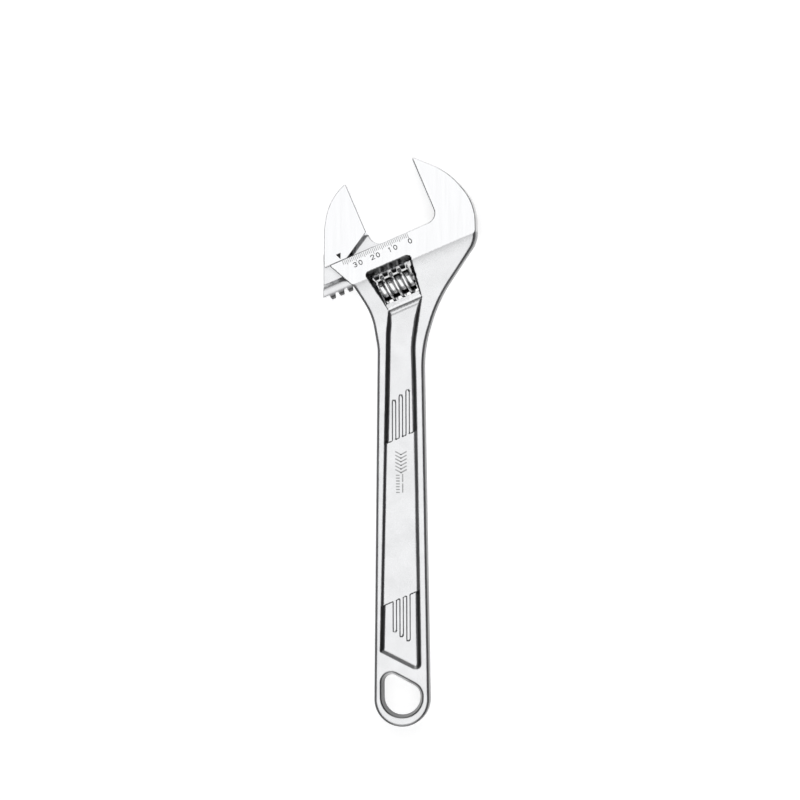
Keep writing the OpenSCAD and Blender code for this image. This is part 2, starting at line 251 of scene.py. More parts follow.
# How far the window's walls lean in for each millimetre of depth
SIDE_SLOPE = 0.3
TOP_SLOPE = 0.9
LOW_SLOPE = 2.7
# The recess's upper end runs along the window's lower edge
RECESS_HIGH_V = WINDOW_LOW_V - 0.4
RECESS_HIGH_Y = HEAD_Y + RECESS_HIGH_V / COS

# Cells of the grids that the meshes are taken from
BODY_CELL = (0.60, 0.71, 0.53)
JAW_CELL = (0.36, 0.36, 0.34)
WORM_CELL = (0.27, 0.27, 0.27)
PIN_CELL = (0.25, 0.25, 0.25)

# Walls are dark in the picture, so they get painted shade. It sets in as the upright part of a
# wall's normal falls between these values, on the body and on the jaw
BODY_STEEP = (0.92, 0.70)
JAW_STEEP = (0.75, 0.45)
# Share of the painted shade that stays on the recess's low end, on the bars' left sides and, in the
# head, on walls that face up
LOW_END_SHARE = 0.45
BAR_LEFT_SHARE = 0.4
FACING_UP_SHARE = 0.15
# Heights between which painted shade darkens the groove above the rack and the teeth
GROOVE_LOW = (3.3, 3.8)
GROOVE_HIGH = (5.0, 4.4)
TEETH_TOP = (-2.3, -3.3)
# Radii at which the worm's crest, free of painted shade, and its flanks with painted shade begin
CREST_FROM = (6.8, 7.3)
FLANK_FROM = (CORE_R + 0.85, CORE_R + 1.3)

# Scale and pointer: depth in their faces and height above them, distance of the zero from the
# jaw's face, marks below the ledge, and digits
SUNK = 0.05
PROUD = 0.03
ZERO_BACK = 18
MARKS = 38
MARK_GAP = 0.6
MARK_W = 0.26
MARK_L, FIVE_L, TEN_L = 2.0, 2.6, 3.1
DIGIT_V = 7.0
DIGIT_PITCH = 3.1
DIGIT_WIDEN = 1.2
DIGIT_STROKE = 0.42
POINTER = ((0, 0.8), (1.4, 3.9), (-1.4, 3.9))

# Pattern on the handle's pad: rows of chevrons, two upright strokes and a column of dashes
CHEVRONS = 6
CHEVRON_X = (-2.7, 0.05, 2.8)
CHEVRON_Y = 129.2
CHEVRON_STEP = 1.9
CHEVRON_DROP = 1.5
STROKE_X = 0.9
STROKES_Y = ((117.2, 113.6), (112.2, 108.0))
DASHES = 7
DASH_X = (-2.3, -1.0)
DASH_Y = 116.8
DASH_STEP = 1.5
PATTERN_STROKE = 0.6
PATTERN_SUNK = 0.1
PATTERN_PROUD = 0.3

# ---------------------------------------------------------------- outlines


def outline(points):
    """Straight runs and arcs of a closed outline, given as (x, y, corner radius) points."""
    at = np.array([p[:2] for p in points], dtype=float)
    radii = [p[2] or SHARP for p in points]
    after = np.roll(at, -1, axis=0)
    if (at[:, 0] * after[:, 1] - at[:, 1] * after[:, 0]).sum() < 0:
        at, radii = at[::-1], radii[::-1]
    n = len(at)
    arcs, starts, ends = [], [], []
    for i in range(n):
        to_a, to_b = at[i - 1] - at[i], at[(i + 1) % n] - at[i]
        to_a, to_b = to_a / np.linalg.norm(to_a), to_b / np.linalg.norm(to_b)
        half = math.acos(float(np.clip(to_a @ to_b, -1, 1))) / 2
        middle = (to_a + to_b) / np.linalg.norm(to_a + to_b)
        centre = at[i] + middle * radii[i] / math.sin(half)
        reach = radii[i] / math.tan(half)
        convex = to_a[1] * to_b[0] - to_a[0] * to_b[1] > 0
        arcs.append((centre, radii[i], -middle, math.sin(half), 1 if convex else -1))
        starts.append(at[i] + to_a * reach)
        ends.append(at[i] + to_b * reach)
    runs = [(ends[i - 1], starts[i]) for i in range(n)]
    return runs, arcs


def at_head(u, v, r=0.0):
    return (*from_head(u, v), r)


def half_w(y):
    """Half the handle's width at height y."""
    return END_R + (NECK_HALF - END_R) * (y + END_DROP) / (NECK_Y + END_DROP)


def body_outline():
    low_y = -END_DROP - END_R
    end_r = END_R - 0.01
    return outline(
        [
            at_head(OPEN_FACE_U - 25, LEDGE_V, 0.6),
            at_head(*LEFT_HIGH, 9),
            at_head(*LEFT_LOW, 36),
            (-half_w(NECK_Y), NECK_Y, 30),
            (-half_w(low_y), low_y, end_r),
            (half_w(low_y), low_y, end_r),
            (half_w(NECK_Y), NECK_Y, 70),
            at_head(*NECK_RIGHT, 80),
            at_head(*BACK_LOW, 15),
            at_head(*BACK_MIDDLE, 28),
            at_head(*BACK_HIGH, 40),
            at_head(FIXED_FACE_U, TIP_V, TIP_R),
            at_head(FIXED_FACE_U, LEDGE_V, THROAT_R),
        ]
    )


def hole_outline():
    return outline(
        [
            (-HOLE_R, HOLE_RISE, 5.4),
            (HOLE_R, HOLE_RISE - 2 * HOLE_R * END_SLANT, 8),
            (HOLE_R, -HOLE_R, HOLE_R - 0.01),
            (-HOLE_R, -HOLE_R, HOLE_R - 0.01),
        ]
    )


def recess_outline():
    low_l = RECESS_LOW + (half_w(RECESS_LOW) - RIM_LEFT_LOW_W) * END_SLANT
    low_r = RECESS_LOW - (half_w(RECESS_LOW) - RIM_W) * END_SLANT + 0.5
    return outline(
        [
            (RIM_LEFT_LOW_W - half_w(low_l), low_l, 1.2),
            (RIM_W + 0.3 - half_w(NECK_Y - 20), NECK_Y - 20, 0),
            (RIM_W + 0.6 - half_w(NECK_Y), NECK_Y + 8, 30),
            at_head(WINDOW_LEFT_U, RECESS_HIGH_V),
            at_head(WINDOW_RIGHT_U, RECESS_HIGH_V),
            (half_w(NECK_Y) - RIM_W - 0.3, NECK_Y + 2, 50),
            (half_w(NECK_Y - 20) - RIM_W, NECK_Y - 20, 0),
            (half_w(low_r) - RIM_W, low_r, 3),
        ]
    )


def window_outline():
    """The window's opening in a face, in the head's frame."""
    return outline(
        [
            (WINDOW_LEFT_U - WINDOW_LEAN[0], WINDOW_TOP_V, 2.2),
            (WINDOW_LEFT_U, WINDOW_LOW_V, 0.5),
            (WINDOW_RIGHT_U, WINDOW_LOW_V, 0.5),
            (WINDOW_RIGHT_U + WINDOW_LEAN[1], WINDOW_TOP_V, 2.4),
        ]
    )


def channel_outline():
    """The slot for the movable jaw's web, in the head's frame."""
    face = FIXED_FACE_U - CLOSED_GAP + END_GAP
    right = face + NOSE_U
    top = NOSE_V + END_GAP
    high = LEDGE_V + RELIEF_H + END_GAP
    return outline(
        [
            (FAR_LEFT_U, 0, 0),
            (right, 0, 0),
            (right, top, 0),
            (face, top, FAIRING_R),
            (face, high, 0),
            (FAR_LEFT_U, high, 0),
        ]
    )


def jaw_outline():
    """The movable jaw's slab, measured from its face."""
    return outline(
        [
            (0, TIP_V + TIP_OVER, TIP_R),
            (0, LEDGE_V + RELIEF_H, 0),
            (-RELIEF_W, FOOT_V, 0),
            (-FOOT_W, FOOT_V, 0),
            (*SPINE, 30),
            (*BROW, 30),
        ]
    )


def web_outline():
    """The web between the movable jaw and its rack, measured from the jaw's face."""
    return outline(
        [
            (0, LEDGE_V + RELIEF_H, 0),
            (2 - FOOT_W, LEDGE_V + RELIEF_H, 0),
            (FOOT_V * TAN - RACK_BACK, FOOT_V, 0),
            (-RACK_BACK, 0, 0),
            (NOSE_U, 0, 0),
            (NOSE_U, NOSE_V, 0),
            (0, NOSE_V, FAIRING_R),
        ]
    )


# ---------------------------------------------------------------- distance fields


def outline_distance(x, y, shape):
    """Distance to a closed outline, negative inside it."""
    x, y = np.broadcast_arrays(x, y)
    near = np.full(x.shape, np.inf)
    signed = near.copy()
    runs, arcs = shape
    for a, b in runs:
        along = b - a
        length = np.linalg.norm(along)
        if length < 1e-6:
            continue
        along = along / length
        wx, wy = x - a[0], y - a[1]
        t = np.clip(wx * along[0] + wy * along[1], 0, length)
        gap = np.hypot(wx - t * along[0], wy - t * along[1])
        side = np.where(along[0] * wy - along[1] * wx > 0, -1, 1)
        closer = gap < near
        near = np.where(closer, gap, near)
        signed = np.where(closer, gap * side, signed)
    for centre, r, middle, spread, sign in arcs:
        wx, wy = x - centre[0], y - centre[1]
        away = np.hypot(wx, wy)
        facing = wx * middle[0] + wy * middle[1] >= away * spread
        gap = np.abs(away - r)
        closer = facing & (gap < near)
        near = np.where(closer, gap, near)
        signed = np.where(closer, (away - r) * sign, signed)
    return signed


def both(a, b, r):
    """Intersection of two fields, with an edge of radius r."""
    u, v = np.maximum(a + r, 0), np.maximum(b + r, 0)
    return np.minimum(-r, np.maximum(a, b)) + np.hypot(u, v)


def either(a, b, r):
    """Union of two fields, with a fillet of radius r."""
    return -both(-a, -b, r)


def smooth(low, high, value):
    """0 at low and 1 at high, with a smooth run between them; low may be the greater."""
    t = np.clip((value - low) / (high - low), 0, 1)
    return t * t * (3 - 2 * t)


def rod_field(place, at_v, radius, low, high, edge):
    """A cylinder along u at height at_v, from low to high; place is (u, v, w)."""
    u, v, w = place
    ends = np.abs(u - (low + high) / 2) - (high - low) / 2
    return both(np.hypot(v - at_v, w) - radius, ends, edge)


OUTLINES = {
    "body": body_outline(),
    "hole": hole_outline(),
    "recess": recess_outline(),
    "window": window_outline(),
    "channel": channel_outline(),
    "jaw": jaw_outline(),
    "web": web_outline(),
}


def half_thickness(v):
    """Half the body's thickness at height v of the head's frame."""
    drop = FALL_RUN - np.clip(POLISH_V - v, 0, FALL_RUN)
    low = HANDLE_T / 2 + FALL_R - np.sqrt(FALL_R**2 - drop**2)
    return np.where(v > POLISH_V, HEAD_T / 2, low)


def bars_field(x, y, pad_y, direction, bars):
    """The three raised bars that run from the pad's end."""
    out = None
    for i in (-1, 0, 1):
        cx = i * BAR_PITCH
        root = pad_y + cx * TAN
        far = root + direction * (bars[0] + i * bars[1] - BAR_W / 2)
        cy = np.clip(y, min(root, far), max(root, far))
        bar = np.hypot(x - cx, y - cy) - BAR_W / 2
        out = bar if out is None else np.minimum(out, bar)
    return out


def sloped(distance, depth, slope):
    """A wall's field that leans in by slope for each millimetre of depth."""
    return (distance + slope * depth) / math.hypot(1, slope)


def recess_field(x, y, v, depth):
    """The handle's recess, whose floor has the raised pad and bars."""
    edge = outline_distance(x, y, OUTLINES["recess"])
    ramp = smooth(RECESS_HIGH_V - RAMP_L, RECESS_HIGH_V - RAMP_END, v) * RAMP_RISE
    step = smooth(RECESS_HIGH_V - STEP_L, RECESS_HIGH_V - STEP_END, v) * STEP_RISE
    floor = depth - RECESS_DEPTH + ramp + step
    pad_low, pad_high = RECESS_LOW + PAD_LOW_GAP, RECESS_HIGH_Y - PAD_HIGH_GAP
    pad = np.maximum(pad_low - (y - x * TAN), (y - x * TAN) - pad_high) * COS
    raised = np.minimum(pad, bars_field(x, y, pad_high, 1, BARS_UP))
    raised = np.minimum(raised, bars_field(x, y, pad_low, -1, BARS_DOWN))
    shallow = both(sloped(edge, depth, PAD_WALL), depth - PAD_DEPTH, 0.4)
    islands = sloped(-raised, depth - PAD_DEPTH, BAR_WALL)
    deep = both(both(sloped(edge, depth, DEEP_WALL), floor, 0.6), islands, 0.25)
    return np.minimum(shallow, deep)


def window_field(u, v, w, deep_in):
    """The worm's window, open in both faces, and the round room that the worm turns in."""
    sides = sloped(outline_distance(u, v, OUTLINES["window"]), deep_in, SIDE_SLOPE)
    top_v = np.maximum(WINDOW_TOP_V - TOP_SLOPE * deep_in, ROOT_V - 0.4)
    top = (v - top_v) / math.hypot(1, TOP_SLOPE)
    low = sloped(WINDOW_LOW_V - v, deep_in, LOW_SLOPE)
    opening = both(np.maximum(np.maximum(sides, low), top), -1 - deep_in, 0.1)
    ends = np.abs(u - (SLOT_LEFT_U + SLOT_RIGHT_U) / 2) - (SLOT_RIGHT_U - SLOT_LEFT_U) / 2
    room = np.maximum(ends, np.hypot(v + WORM_DROP, w) - WORM_R - WORM_ROOM)
    return np.minimum(opening, room)


def channel_field(place):
    """The slot and bore that the movable jaw's web and rack slide in."""
    u, v, w = place
    web = both(np.abs(w) - WEB_T / 2 - SIDE_GAP, outline_distance(u, v, OUTLINES["channel"]), 0.05)
    end = FIXED_FACE_U - CLOSED_GAP + RACK_FRONT + END_GAP
    return np.minimum(web, rod_field(place, 0, RACK_R + BORE_GAP, FAR_LEFT_U, end, 0.05))


def pin_bore_field(place):
    """The bore for the worm's pin, wider where its screw head sits."""
    pin_r, head_r = PIN_D / 2 + SEAT_GAP, PIN_HEAD_D / 2 + SEAT_GAP
    bore = rod_field(place, -WORM_DROP, pin_r, PIN_LEFT_U, PIN_RIGHT_U + 0.5, 0.05)
    seat = rod_field(place, -WORM_DROP, head_r, PIN_LEFT_U - 4, PIN_LEFT_U + PIN_HEAD_L, 0.05)
    return np.minimum(bore, seat)


def body_field(x, y, z):
    """The body: forged handle and head, with its recesses, hole, window and channel."""
    u, v = to_head(x, y)
    w = z - MID_Z
    side = np.abs(w)
    depth = HANDLE_T / 2 - side
    polished = smooth(POLISH_V - 1, POLISH_V + 1, v)
    edge = FORGED_EDGE + (GROUND_EDGE - FORGED_EDGE) * polished
    outer = outline_distance(x, y, OUTLINES["body"])
    shape = both(outer, side - half_thickness(v), edge)
    shape = both(shape, -recess_field(x, y, v, depth), 0.4)
    hole = outline_distance(x, y, OUTLINES["hole"]) - 0.1
    shape = both(shape, -sloped(hole, np.maximum(depth, 0), HOLE_WALL), HOLE_EDGE)
    shape = both(shape, -window_field(u, v, w, half_thickness(v) - side), 0.25)
    shape = both(shape, -channel_field((u, v, w)), 0.25)
    return both(shape, -pin_bore_field((u, v, w)), 0.15)


def jaw_field(u, v, w):
    """The movable jaw with its web and its round rack, u measured from the jaw's face."""
    side = np.abs(w)
    slab = both(outline_distance(u, v, OUTLINES["jaw"]), side - HEAD_T / 2 + SIDE_GAP, 0.3)
    relief = u * RELIEF_H - (v - LEDGE_V - RELIEF_H) * RELIEF_W
    relief = relief / math.hypot(RELIEF_H, RELIEF_W)
    slab = both(slab, relief + RELIEF_DRAFT * (side - WEB_T / 2) - RELIEF_OUT, 0.3)
    web = both(outline_distance(u, v, OUTLINES["web"]), side - WEB_T / 2, 0.3)
    rack = rod_field((u, v, w), 0, RACK_R, -2 * RACK_BACK, RACK_FRONT, 0.5)
    rack = both(rack, (v * TAN - RACK_BACK - u) * COS, 0.3)
    # The last tooth space is open to the rack's end
    last_space = (math.floor(RACK_BACK / PITCH) + 0.5) * PITCH
    rack = both(rack, -np.maximum(u + last_space, v - ROOT_V), 0.25)
    # The teeth lean like the worm's thread where the two mesh
    lean = math.atan(PITCH / (2 * math.pi * (WORM_DROP - RACK_R + 1)))
    along = (u * math.cos(lean) - w * math.sin(lean)) / math.cos(lean)
    along = np.abs((along % PITCH) - PITCH / 2)
    half = (CREST_W + (WORM_R - v - WORM_DROP) * THREAD_FLARE) / 2 + FLANK_GAP
    space = both(along - half, v - ROOT_V, 0.35)
    rack = both(rack, -space, 0.25)
    return np.minimum(slab, either(web, rack, 0.3))


def worm_field(u, v, w):
    """The worm, u measured from its left end."""
    r = np.hypot(v, w)
    turn = np.arctan2(w, v) / (2 * math.pi)
    crest = OPEN_FACE_U + PITCH / 2 - WORM_LEFT_U
    along = np.abs((u - crest - PITCH * turn + PITCH / 2) % PITCH - PITCH / 2)
    half = (CREST_W + (WORM_R - r) * THREAD_FLARE) / 2
    flank = (along - half) / math.hypot(1, THREAD_FLARE / 2)
    thread = both(r - WORM_R, flank, 0.3)
    solid = either(r - CORE_R - ROOT_FILL, thread, 0.5)
    solid = both(solid, np.abs(u - WORM_L / 2) - WORM_L / 2, 0.3)
    bore = PIN_D / 2 + PIN_GAP - r
    pocket = np.minimum(COIL_D / 2 + WIRE_D - r, u - WORM_L + POCKET_DEPTH)
    return both(solid, np.maximum(bore, pocket), 0.15)


# ---------------------------------------------------------------- meshes


def slope_of(field, p):
    """Value and gradient of a field at points."""
    step = 0.01
    here = field(p[:, 0], p[:, 1], p[:, 2])
    ahead = [field(*(p + step * np.eye(3)[i]).T) for i in range(3)]
    return here, np.stack([(a - here) / step for a in ahead], axis=1)


def skin(field, low, high, step):
    """Points, faces and normals of a field's surface, by surface nets on a grid."""
    step = np.array(step)
    axes = [np.arange(low[i] - 2.3 * step[i], high[i] + 3 * step[i], step[i]) for i in range(3)]
    x, y, z = axes[0][:, None, None], axes[1][None, :, None], axes[2][None, None, :]
    values = np.broadcast_to(field(x, y, z), [len(a) for a in axes])
    inside = values < 0
    offsets = np.array([[i, j, k] for i in (0, 1) for j in (0, 1) for k in (0, 1)])
    size = np.array(values.shape) - 1
    count = np.zeros(size, int)
    for i, j, k in offsets:
        count += inside[i : i + size[0], j : j + size[1], k : k + size[2]]
    active = (count > 0) & (count < 8)
    cells = np.argwhere(active)
    at = cells[:, None] + offsets
    value = values[at[..., 0], at[..., 1], at[..., 2]]
    total, hits = np.zeros((len(cells), 3)), np.zeros(len(cells))
    for a in range(8):
        for b in range(a + 1, 8):
            if bin(a ^ b).count("1") == 1:
                cross = (value[:, a] < 0) != (value[:, b] < 0)
                t = value[:, a] / np.where(cross, value[:, a] - value[:, b], 1)
                point = offsets[a] + t[:, None] * (offsets[b] - offsets[a])
                total += np.where(cross, 1, 0)[:, None] * point
                hits += cross
    points = (cells + total / hits[:, None]) * step + [a[0] for a in axes]
    number = -np.ones(size, int)
    number[active] = np.arange(len(cells))
    faces = []
    for axis in range(3):
        one, two = (np.eye(3, dtype=int)[(axis + i) % 3] for i in (1, 2))
        here = inside.take(range(size[axis]), axis)
        there = inside.take(range(1, size[axis] + 1), axis)
        edge = np.argwhere(here != there)
        corners = (one + two, two, 0 * one, one)
        quad = np.stack([number[tuple((edge - o).T)] for o in corners], axis=1)
        outwards = here[tuple(edge.T)]
        faces.append(np.where(outwards[:, None], quad, quad[:, ::-1]))
    faces = np.concatenate(faces)
    # Two steps along the slope bring the points onto the surface
    for _ in range(2):
        here, slope = slope_of(field, points)
        move = -(here / np.maximum((slope**2).sum(1), 0.2))[:, None] * slope
        points = points + np.clip(move, -0.5 * step, 0.5 * step)
    _, slope = slope_of(field, points)
    normals = slope / np.maximum(np.linalg.norm(slope, axis=1), 1e-6)[:, None]
    return points, faces, normals


def build(name, points, faces, normals, material, slot, body, node):
    """A piece from a skin in the frame's axes and mm."""
    mesh = bpy.data.meshes.new(name)
    mesh.from_pydata((points * MM).tolist(), [], faces.tolist())
    mesh.polygons.foreach_set("use_smooth", [True] * len(mesh.polygons))
    mesh.update()
    if normals is not None:
        mesh.normals_split_custom_set_from_vertices(normals.tolist())
    mesh.materials.append(material)
    piece = bpy.data.objects.new(name, mesh)
    bpy.context.collection.objects.link(piece)
    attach(piece, body)
    if node:
        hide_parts(node)
    return piece


def head_to_frame(points, normals, offset):
    """Points and normals of the head's frame, moved by offset, in the frame's axes."""
    p = points + offset
    x, y = from_head(p[:, 0], p[:, 1])
    nx = normals[:, 0] * COS - normals[:, 1] * SIN
    ny = normals[:, 0] * SIN + normals[:, 1] * COS
    return np.stack([x, y, p[:, 2] + MID_Z], axis=1), np.stack([nx, ny, normals[:, 2]], axis=1)


def note(piece, name, values):
    """A number for each point of a piece, for its material."""
    layer = piece.data.attributes.new(name, "FLOAT", "POINT")
    layer.data.foreach_set("value", np.asarray(values, dtype=np.float32))


# ---------------------------------------------------------------- materials


class Nodes:
    """A node material, with the few nodes that the metals share."""

    def __init__(self, name):
        self.material = bpy.data.materials.new(name)
        self.material.use_nodes = True
        self.tree = self.material.node_tree
        self.shader = self.tree.nodes["Principled BSDF"]
        self.place = self.new("ShaderNodeTexCoord").outputs["Object"]

    def new(self, kind, **settings):
        node = self.tree.nodes.new(kind)
        for key, value in settings.items():
            setattr(node, key, value)
        return node

    def link(self, source, target):
        self.tree.links.new(source, target)

    def noise(self, scale, detail=4.0, stretch=None):
        """Noise with a scale per metre; stretch is its scale on each axis and its turn about z."""
        node = self.new("ShaderNodeTexNoise")
        node.inputs["Scale"].default_value = scale
        node.inputs["Detail"].default_value = detail
        place = self.place
        if stretch:
            mapping = self.new("ShaderNodeMapping")
            mapping.inputs["Rotation"].default_value = (0, 0, stretch[1])
            mapping.inputs["Scale"].default_value = stretch[0]
            self.link(place, mapping.inputs["Vector"])
            place = mapping.outputs["Vector"]
        self.link(place, node.inputs["Vector"])
        return node.outputs["Fac"]

    def spread(self, source, low, high, start=0.3, end=0.7):
        """Maps start..end of a source to low..high."""
        node = self.new("ShaderNodeMapRange")
        ends = {"From Min": start, "From Max": end, "To Min": low, "To Max": high}
        for key, value in ends.items():
            node.inputs[key].default_value = value
        self.link(source, node.inputs["Value"])
        return node.outputs["Result"]

    def blend(self, amount, a, b):
        """a where amount is 0 and b where it is 1; a and b are numbers or sockets."""
        node = self.new("ShaderNodeMix", data_type="FLOAT")
        self.link(amount, node.inputs[0])
        for socket, value in ((node.inputs[2], a), (node.inputs[3], b)):
            if isinstance(value, float):
                socket.default_value = value
            else:
                self.link(value, socket)
        return node.outputs[0]

    def times(self, a, b):
        node = self.new("ShaderNodeMath", operation="MULTIPLY")
        for socket, value in ((node.inputs[0], a), (node.inputs[1], b)):
            if isinstance(value, float):
                socket.default_value = value
            else:
                self.link(value, socket)
        return node.outputs[0]

    def grey(self, value, tint=(1.0, 1.0, 1.0)):
        """A colour whose three parts are a value times a tint."""
        node = self.new("ShaderNodeCombineColor")
        for socket, part in zip(node.inputs, tint):
            self.link(self.times(value, part), socket)
        self.link(node.outputs[0], self.shader.inputs["Base Color"])

    def bump(self, height, strength, distance):
        """Bumps of a height, with their full distance in metres."""
        node = self.new("ShaderNodeBump")
        node.inputs["Strength"].default_value = strength
        node.inputs["Distance"].default_value = distance
        self.link(height, node.inputs["Height"])
        self.link(node.outputs["Normal"], self.shader.inputs["Normal"])

    def attribute(self, name):
        return self.new("ShaderNodeAttribute", attribute_name=name).outputs["Fac"]


def plated_metal():
    """Chrome plate: mirror-bright where polished, satin elsewhere, with painted highlight and
    shade.
    """
    n = Nodes("chrome_plate")
    polish_and_painted_highlight, painted_shade = n.attribute("polish_and_painted_highlight"), n.attribute("painted_shade")
    cloud = n.noise(90, 3.0)
    grain = n.noise(2600, 5.0)
    brushed = n.noise(700, 4.0, ((1, 0.05, 1), -math.atan2(SIN, COS)))
    satin = n.spread(cloud, 0.82, 0.90)
    # Painted shade: the colour falls to 0.15 of itself on the walls marked as shaded
    shade = n.spread(painted_shade, 1.0, 0.15, 0.0, 1.0)
    value = n.blend(polish_and_painted_highlight, satin, n.spread(brushed, 0.88, 0.93))
    n.grey(n.times(shade, value), (0.985, 0.99, 1.0))
    rough = n.blend(polish_and_painted_highlight, n.spread(grain, 0.24, 0.36), n.spread(brushed, 0.08, 0.16))
    n.link(rough, n.shader.inputs["Roughness"])
    height = n.blend(polish_and_painted_highlight, grain, n.times(brushed, 0.12))
    n.bump(height, 0.16, 0.00012)
    n.shader.inputs["Metallic"].default_value = 1.0
    return n.material


def bright_steel(name, low, high, rough_low, rough_high):
    """Turned and plated steel with faint tool marks, darkened by painted shade where marked."""
    n = Nodes(name)
    grain = n.noise(1800, 4.0)
    cloud = n.noise(260, 3.0)
    # Painted shade: the colour falls to 0.12 of itself where the mesh is marked as shaded
    shade = n.spread(n.attribute("painted_shade"), 1.0, 0.12, 0.0, 1.0)
    n.grey(n.times(shade, n.spread(cloud, low, high)), (0.99, 0.995, 1.0))
    n.link(n.spread(grain, rough_low, rough_high), n.shader.inputs["Roughness"])
    n.bump(grain, 0.1, 0.00006)
    n.shader.inputs["Metallic"].default_value = 1.0
    return n.material


def engraving_ink(name, low, high):
    """Blackened engraving of the scale and its pointer."""
    n = Nodes(name)
    grain = n.noise(3500, 3.0)
    n.grey(n.spread(grain, low, high))
    n.link(n.spread(grain, 0.45, 0.7), n.shader.inputs["Roughness"])
    n.bump(grain, 0.2, 0.00004)
    return n.material


def paper():
    """The pale floor, which glows a little so that it stays white in the picture."""
    n = Nodes("paper_floor")
    grain = n.noise(900, 3.0)
    n.grey(n.spread(grain, 0.90, 0.93))
    n.link(n.spread(grain, 0.8, 0.95), n.shader.inputs["Roughness"])
    n.shader.inputs["Emission Color"].default_value = (1, 1, 1, 1)
    n.shader.inputs["Emission Strength"].default_value = FLOOR_GLOW
    return n.material


# ---------------------------------------------------------------- pieces

# Slots and bodies of the pieces that have one look and move together
PLATED = ("plated_body", "wrench_body")
SLIDING = ("plated_jaw", "sliding_jaw")


def wall_shade(points, normals):
    """Painted shade on steep walls: less on the recess's low end and on the left sides of the bars.
    """
    x, y = points[:, 0], points[:, 1]
    steep = smooth(*BODY_STEEP, np.abs(normals[:, 2]))
    sideways = np.abs(normals[:, 0]) / np.maximum(np.hypot(normals[:, 0], normals[:, 1]), 1e-6)
    between_rims = np.abs(x) < half_w(y) - RIM_LEFT_LOW_W / 2
    low_end = between_rims & (y > HOLE_RISE - 8) & (y < RECESS_LOW + 8)
    low_end_share = LOW_END_SHARE + (1 - LOW_END_SHARE) * sideways
    steep = np.where(low_end, steep * low_end_share, steep)
    on_bars = (np.abs(x) < 2 * BAR_PITCH - 1) & (y > RECESS_LOW) & (y < NECK_Y)
    steep = np.where(on_bars & (normals[:, 0] < -0.5), BAR_LEFT_SHARE * steep, steep)
    _, v = to_head(x, y)
    facing_up = smooth(0.3, 0.95, normals[:, 1])
    return np.where(v > POLISH_V, steep * (1 - (1 - FACING_UP_SHARE) * facing_up), steep)


def lit_slope(v, normals):
    """1 on the window's low slope, which gets a painted highlight in place of painted shade."""
    up = normals[:, 1] * COS - normals[:, 0] * SIN
    sloping = smooth(0.1, 0.25, up) * smooth(0.85, 0.9, np.abs(normals[:, 2]))
    return sloping * (np.abs(v - WINDOW_LOW_V) < 5)


def make_body(material):
    points, faces, normals = skin(body_field, BODY_LOW, BODY_HIGH, BODY_CELL)
    piece = build("forged_body", points, faces, normals, material, *PLATED, "body")
    _, v = to_head(points[:, 0], points[:, 1])
    # A painted highlight on the window's low slope, carried by the attribute that also marks the
    # polished faces
    slope_highlight = lit_slope(v, normals)
    note(piece, "polish_and_painted_highlight", np.maximum(smooth(POLISH_V - 0.3, POLISH_V + 0.1, v), slope_highlight))
    # Painted shade on the body's steep walls, none on the window's low slope
    note(piece, "painted_shade", wall_shade(points, normals) * (1 - slope_highlight))


def make_jaw(material):
    low, high = (-RACK_BACK - 2, -RACK_R, -HEAD_T / 2), (RACK_FRONT, TIP_V + TIP_OVER, HEAD_T / 2)
    points, faces, normals = skin(jaw_field, low, high, JAW_CELL)
    slab = smooth(WEB_T / 2 + 0.1, WEB_T / 2 + 0.6, np.abs(points[:, 2]))
    jaw = outline_distance(points[:, 0], points[:, 1], OUTLINES["jaw"]) < 0.2
    # Painted shade, as little light reaches the cut under the face, the groove above the rack
    # and the teeth
    v = points[:, 1]
    steep = smooth(*JAW_STEEP, np.abs(normals[:, 2]))
    relief = (v > FOOT_V + 0.4) * (v < LEDGE_V + RELIEF_H + 0.2) * (points[:, 0] > -RELIEF_W - 0.3)
    relief = relief * smooth(0.5, -0.2, normals[:, 1])
    groove = smooth(*GROOVE_LOW, v) * smooth(*GROOVE_HIGH, v)
    painted_shade = np.maximum(steep * np.maximum(relief, groove), smooth(*TEETH_TOP, v))
    points, normals = head_to_frame(points, normals, np.array([OPEN_FACE_U, 0, 0]))
    piece = build("jaw_and_rack", points, faces, normals, material, *SLIDING, "movable_jaw")
    note(piece, "polish_and_painted_highlight", slab * jaw)
    note(piece, "painted_shade", painted_shade)


def make_worm(material):
    low, high = (0, -WORM_R, -WORM_R), (WORM_L, WORM_R, WORM_R)
    points, faces, normals = skin(worm_field, low, high, WORM_CELL)
    # Painted shade, as little light reaches the thread's flanks, and its root away from the middle
    r = np.hypot(points[:, 1], points[:, 2])
    off_middle = smooth(0.55, 0.78, np.abs(points[:, 1]) / r)
    flank = smooth(*FLANK_FROM, r)
    painted_shade = (1 - smooth(*CREST_FROM, r)) * np.maximum(off_middle, flank)
    points, normals = head_to_frame(points, normals, np.array([WORM_LEFT_U, -WORM_DROP, 0]))
    slot_body_node = ("worm_steel", "worm", "adjusting_worm")
    piece = build("knurl_worm", points, faces, normals, material, *slot_body_node)
    note(piece, "painted_shade", painted_shade)


def pin_field(u, v, w):
    """The worm's pin with its slotted screw head, u measured from the head's outer end."""
    place = (u, v, w)
    shaft = rod_field(place, 0, PIN_D / 2, 1, PIN_L, 0.4)
    head = rod_field(place, 0, PIN_HEAD_D / 2, 0, PIN_HEAD_L, 0.3)
    slot = np.maximum(np.abs(w) - SCREW_SLOT_W / 2, u - SCREW_SLOT_DEPTH)
    return both(either(shaft, head, 0.2), -slot, 0.1)


def make_pin(material):
    r = PIN_HEAD_D / 2
    points, faces, normals = skin(pin_field, (0, -r, -r), (PIN_L, r, r), PIN_CELL)
    points, normals = head_to_frame(points, normals, np.array([PIN_LEFT_U, -WORM_DROP, 0]))
    build("axle_pin", points, faces, normals, material, "pin_steel", "wrench_body", "worm_pin")


